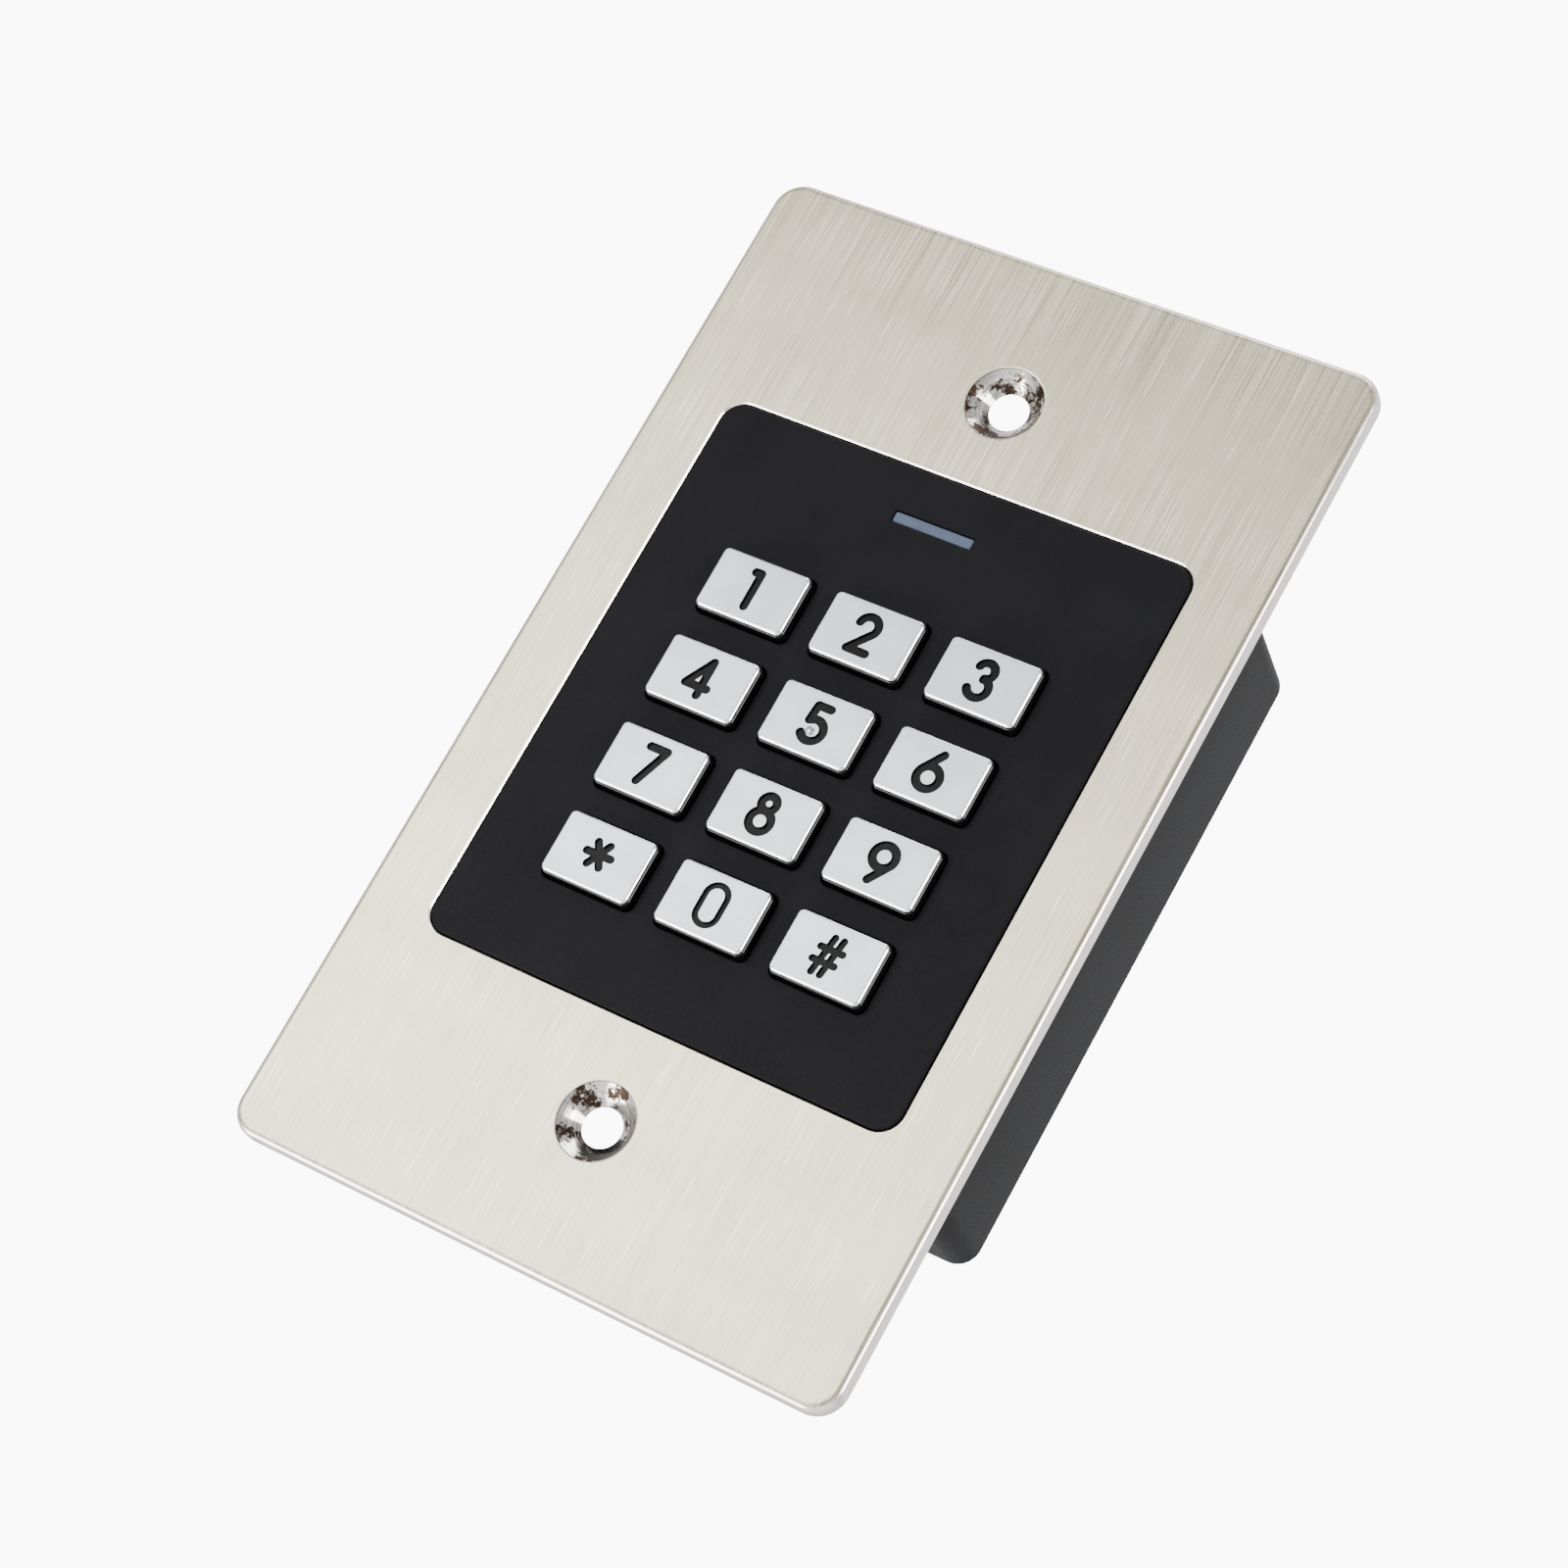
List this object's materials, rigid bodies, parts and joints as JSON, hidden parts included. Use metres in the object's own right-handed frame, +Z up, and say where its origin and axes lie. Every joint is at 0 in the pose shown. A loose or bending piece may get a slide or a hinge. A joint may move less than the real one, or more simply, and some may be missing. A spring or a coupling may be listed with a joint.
{
  "type": "keypad access reader",
  "caption": "Flush wall keypad and card reader: brushed steel plate, black panel with silver push keys, status light bar and a closed housing behind.",
  "frame": {"origin": "middle of the face plate's back face, in the plane of the wall", "axes": "+X right and +Z up as seen from the front, +Y into the wall; the keys face -Y"},
  "size_m": [0.07, 0.0301, 0.115],
  "materials": {
    "plate_steel": "brushed along its length, with a polished edge",
    "panel_black": "fine matte",
    "key_silver": "satin silver with a bright bevel and black sunk legends",
    "key_black": "gloss",
    "light_pipe": "frosted, slightly translucent",
    "housing_grey": "fine matte",
    "gasket_foam": "soft foam",
    "silicone": "matte silicone",
    "circuit_board": "solder mask",
    "lamp": "clear gloss",
    "copper_wire": "enamelled winding",
    "chip_black": "moulded",
    "relay_blue": "moulded gloss",
    "sensor_amber": "clear amber",
    "header_white": "moulded",
    "grommet_rubber": "matte rubber",
    "screw_steel": "zinc plated"
  },
  "bodies": {
    "chassis": {"face_plate": "plate_steel", "plate_gasket": "gasket_foam", "keypad_bezel": "panel_black", "led_light_pipe": "light_pipe", "keypad_membrane": "silicone", "main_board": "circuit_board", "status_led": "lamp", "card_coil": "copper_wire", "controller_chip": "chip_black", "reader_chip": "chip_black", "buzzer": "chip_black", "lock_relay": "relay_blue", "tamper_sensor": "sensor_amber", "wire_header": "header_white", "rear_housing": "housing_grey", "cable_grommet": "grommet_rubber", "dome_1": "silicone", "dome_2": "silicone", "dome_3": "silicone", "dome_4": "silicone", "dome_5": "silicone", "dome_6": "silicone", "dome_7": "silicone", "dome_8": "silicone", "dome_9": "silicone", "dome_star": "silicone", "dome_0": "silicone", "dome_hash": "silicone", "housing_screw_1": "screw_steel", "housing_screw_2": "screw_steel", "housing_screw_3": "screw_steel", "housing_screw_4": "screw_steel", "board_screw_1": "screw_steel", "board_screw_2": "screw_steel", "board_screw_3": "screw_steel", "board_screw_4": "screw_steel"},
    "key_1": {"key_cap_1": "key_silver", "key_body_1": "key_black"},
    "key_2": {"key_cap_2": "key_silver", "key_body_2": "key_black"},
    "key_3": {"key_cap_3": "key_silver", "key_body_3": "key_black"},
    "key_4": {"key_cap_4": "key_silver", "key_body_4": "key_black"},
    "key_5": {"key_cap_5": "key_silver", "key_body_5": "key_black"},
    "key_6": {"key_cap_6": "key_silver", "key_body_6": "key_black"},
    "key_7": {"key_cap_7": "key_silver", "key_body_7": "key_black"},
    "key_8": {"key_cap_8": "key_silver", "key_body_8": "key_black"},
    "key_9": {"key_cap_9": "key_silver", "key_body_9": "key_black"},
    "key_star": {"key_cap_star": "key_silver", "key_body_star": "key_black"},
    "key_0": {"key_cap_0": "key_silver", "key_body_0": "key_black"},
    "key_hash": {"key_cap_hash": "key_silver", "key_body_hash": "key_black"}
  },
  "joints": [
    {"name": "press_1", "type": "slide", "parent": "chassis", "child": "key_1", "axis": [0, 1, 0], "range_m": [0, 0.0008], "stiffness_N_per_m": 1500, "springref_m": -0.0003, "deforming": ["dome_1"]},
    {"name": "press_2", "type": "slide", "parent": "chassis", "child": "key_2", "axis": [0, 1, 0], "range_m": [0, 0.0008], "stiffness_N_per_m": 1500, "springref_m": -0.0003, "deforming": ["dome_2"]},
    {"name": "press_3", "type": "slide", "parent": "chassis", "child": "key_3", "axis": [0, 1, 0], "range_m": [0, 0.0008], "stiffness_N_per_m": 1500, "springref_m": -0.0003, "deforming": ["dome_3"]},
    {"name": "press_4", "type": "slide", "parent": "chassis", "child": "key_4", "axis": [0, 1, 0], "range_m": [0, 0.0008], "stiffness_N_per_m": 1500, "springref_m": -0.0003, "deforming": ["dome_4"]},
    {"name": "press_5", "type": "slide", "parent": "chassis", "child": "key_5", "axis": [0, 1, 0], "range_m": [0, 0.0008], "stiffness_N_per_m": 1500, "springref_m": -0.0003, "deforming": ["dome_5"]},
    {"name": "press_6", "type": "slide", "parent": "chassis", "child": "key_6", "axis": [0, 1, 0], "range_m": [0, 0.0008], "stiffness_N_per_m": 1500, "springref_m": -0.0003, "deforming": ["dome_6"]},
    {"name": "press_7", "type": "slide", "parent": "chassis", "child": "key_7", "axis": [0, 1, 0], "range_m": [0, 0.0008], "stiffness_N_per_m": 1500, "springref_m": -0.0003, "deforming": ["dome_7"]},
    {"name": "press_8", "type": "slide", "parent": "chassis", "child": "key_8", "axis": [0, 1, 0], "range_m": [0, 0.0008], "stiffness_N_per_m": 1500, "springref_m": -0.0003, "deforming": ["dome_8"]},
    {"name": "press_9", "type": "slide", "parent": "chassis", "child": "key_9", "axis": [0, 1, 0], "range_m": [0, 0.0008], "stiffness_N_per_m": 1500, "springref_m": -0.0003, "deforming": ["dome_9"]},
    {"name": "press_star", "type": "slide", "parent": "chassis", "child": "key_star", "axis": [0, 1, 0], "range_m": [0, 0.0008], "stiffness_N_per_m": 1500, "springref_m": -0.0003, "deforming": ["dome_star"]},
    {"name": "press_0", "type": "slide", "parent": "chassis", "child": "key_0", "axis": [0, 1, 0], "range_m": [0, 0.0008], "stiffness_N_per_m": 1500, "springref_m": -0.0003, "deforming": ["dome_0"]},
    {"name": "press_hash", "type": "slide", "parent": "chassis", "child": "key_hash", "axis": [0, 1, 0], "range_m": [0, 0.0008], "stiffness_N_per_m": 1500, "springref_m": -0.0003, "deforming": ["dome_hash"]}
  ]
}
